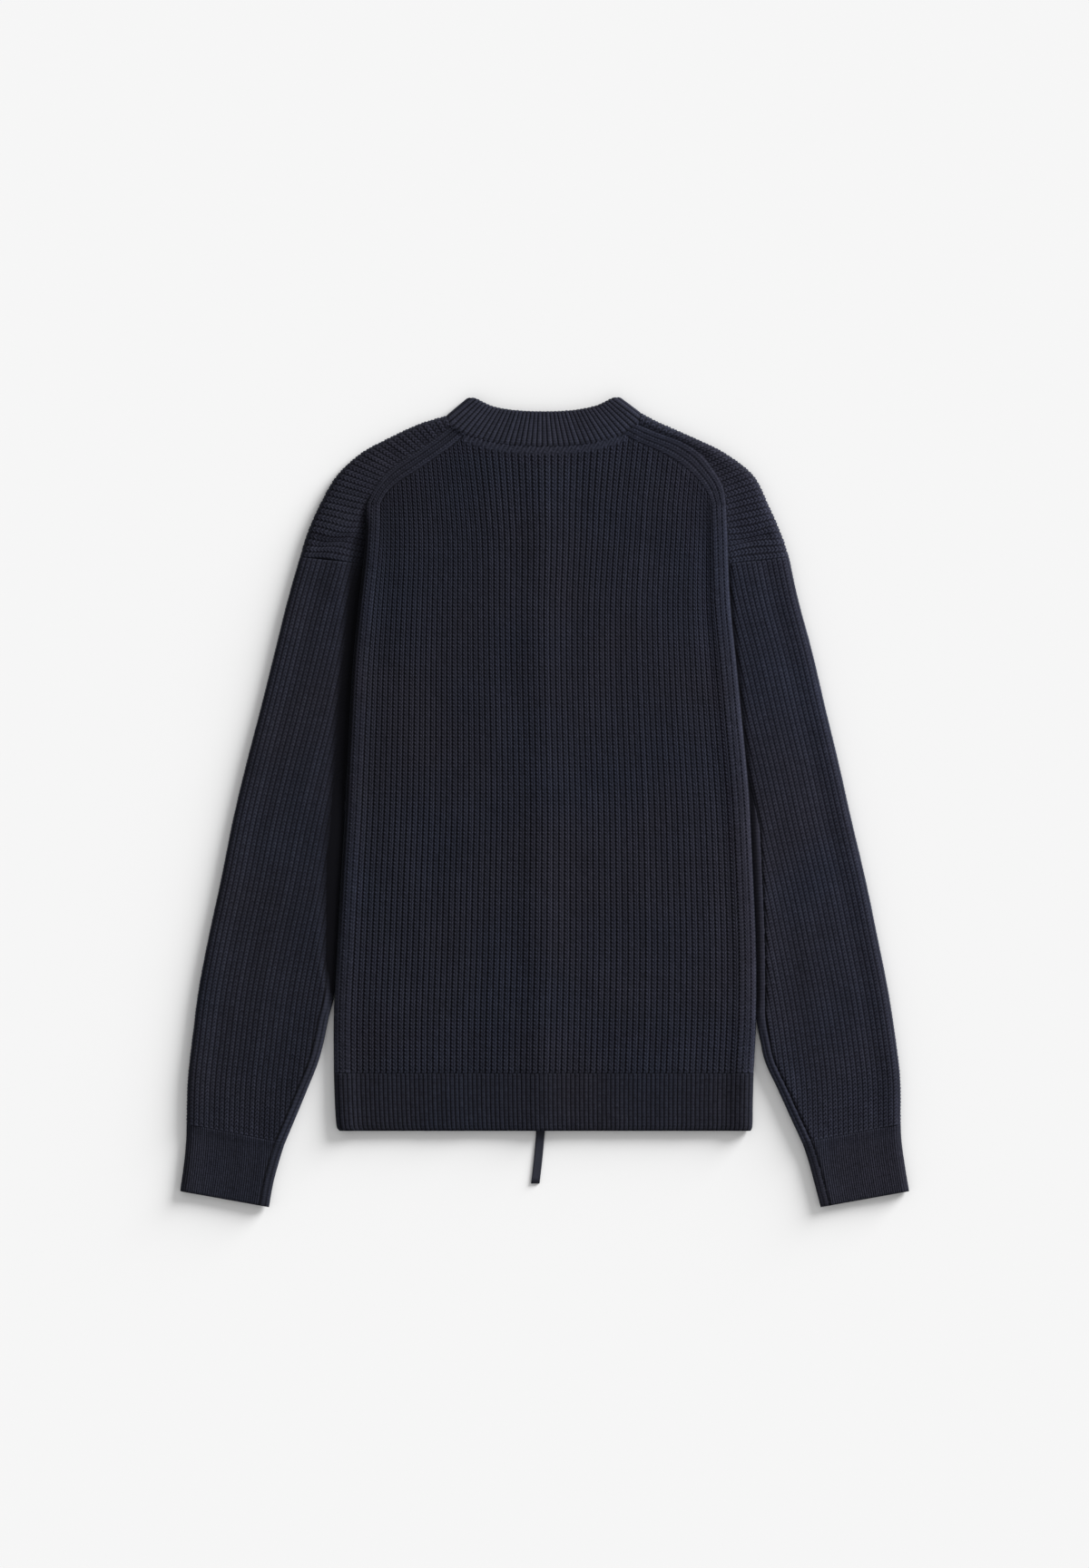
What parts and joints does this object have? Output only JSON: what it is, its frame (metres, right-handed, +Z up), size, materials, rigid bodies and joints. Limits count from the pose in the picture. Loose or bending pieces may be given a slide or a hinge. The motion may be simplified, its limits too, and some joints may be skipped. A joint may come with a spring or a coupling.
{
  "type": "zip-up cardigan",
  "caption": "Rib-knit cardigan with a full-length front zip, a stand collar and long sleeves, laid flat with its back up. Worn over the upper body, or laid or folded.",
  "frame": {"origin": "middle of the outline's rectangle, on the surface that the garment lies on", "axes": "+Y from the hem towards the collar, +X to the right seen from above, +Z up from the surface through the back"},
  "size_m": [0.702, 0.7796, 0.0119],
  "materials": {
    "knit": "matt half-cardigan rib knit",
    "rib": "matt fine rib knit",
    "zip_tape": "woven tape",
    "zip_metal": "dark satin"
  },
  "bodies": {
    "root": {"back_panel": "knit", "left_front": "knit", "right_front": "knit", "left_sleeve": "knit", "right_sleeve": "knit", "left_cuff": "rib", "right_cuff": "rib", "hem_back": "rib", "hem_left_front": "rib", "hem_right_front": "rib", "collar": "rib", "zip_tape_left": "zip_tape", "zip_tape_right": "zip_tape", "pull_bottom": "zip_tape", "pull_top": "zip_tape", "zip_chain": "zip_metal", "slider_bottom": "zip_metal", "slider_top": "zip_metal"}
  },
  "joints": []
}
